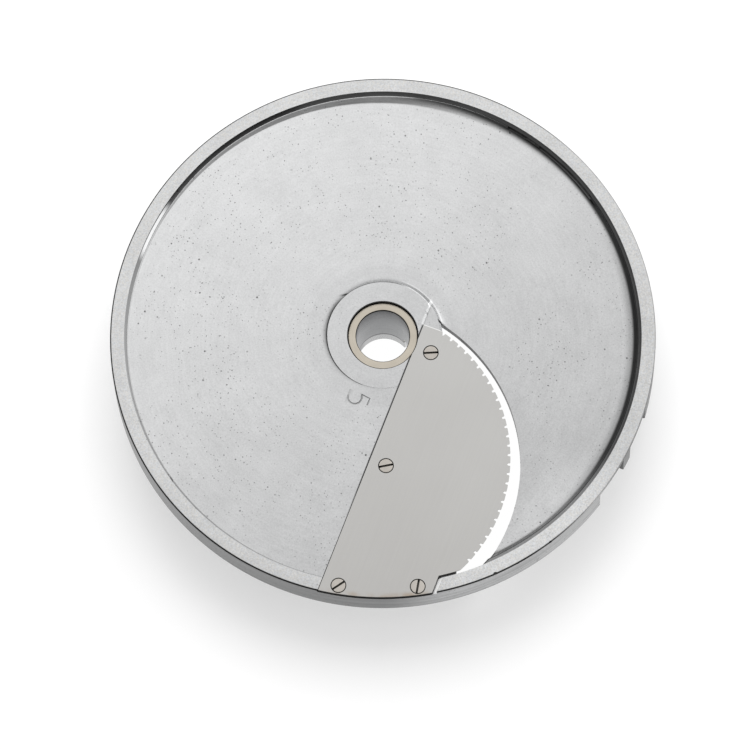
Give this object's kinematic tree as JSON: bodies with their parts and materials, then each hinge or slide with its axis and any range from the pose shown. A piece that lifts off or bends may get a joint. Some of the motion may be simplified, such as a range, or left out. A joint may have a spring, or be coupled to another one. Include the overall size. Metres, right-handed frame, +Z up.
{
  "type": "serrated slicing disc",
  "caption": "Round cast disc with a ramped plate, a flush serrated blade over a curved slot, and a bushed hub.",
  "frame": {"origin": "centre of the hub's end face, on the disc's axis, which is the lowest point", "axes": "+Z up along the disc's axis towards the cutting side; Y along the blade's straight back edge, with the blade on the +X side"},
  "size_m": [0.205, 0.205, 0.037],
  "materials": {
    "casting": "satin turned casting",
    "bush": "fine turned",
    "blade": "fine satin",
    "screws": "turned"
  },
  "bodies": {
    "root": {"disc_casting": "casting", "hub_bush": "bush", "slicing_blade": "blade", "blade_screws": "screws"}
  },
  "joints": []
}
